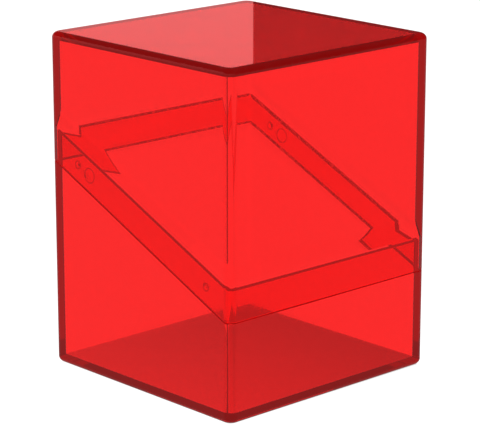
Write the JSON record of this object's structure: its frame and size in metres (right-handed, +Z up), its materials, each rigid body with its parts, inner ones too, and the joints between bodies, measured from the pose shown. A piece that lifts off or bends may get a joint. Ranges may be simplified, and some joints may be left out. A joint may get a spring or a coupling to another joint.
{
  "type": "card deck box",
  "caption": "Closed upright box for a deck of sleeved cards: a base with a raised collar and a lift-off lid whose thin lip slips over it on a slanted seam, in clear tinted plastic.",
  "frame": {"origin": "centre of the underside of the base, on the surface that the box stands on", "axes": "+Z up; the front, where the seam is low, faces -Y; +X to the right of somebody who faces the front; symmetric about X = 0"},
  "size_m": [0.0786, 0.077, 0.1],
  "materials": {
    "clear_red_plastic": "polished, see-through, tinted right through"
  },
  "bodies": {
    "base": {"base": "clear_red_plastic"},
    "lid": {"lid": "clear_red_plastic"}
  },
  "joints": [
    {"name": "lid_lift", "type": "slide", "parent": "base", "child": "lid", "axis": [0, 0, 1], "range_m": [0, 0.06]}
  ]
}
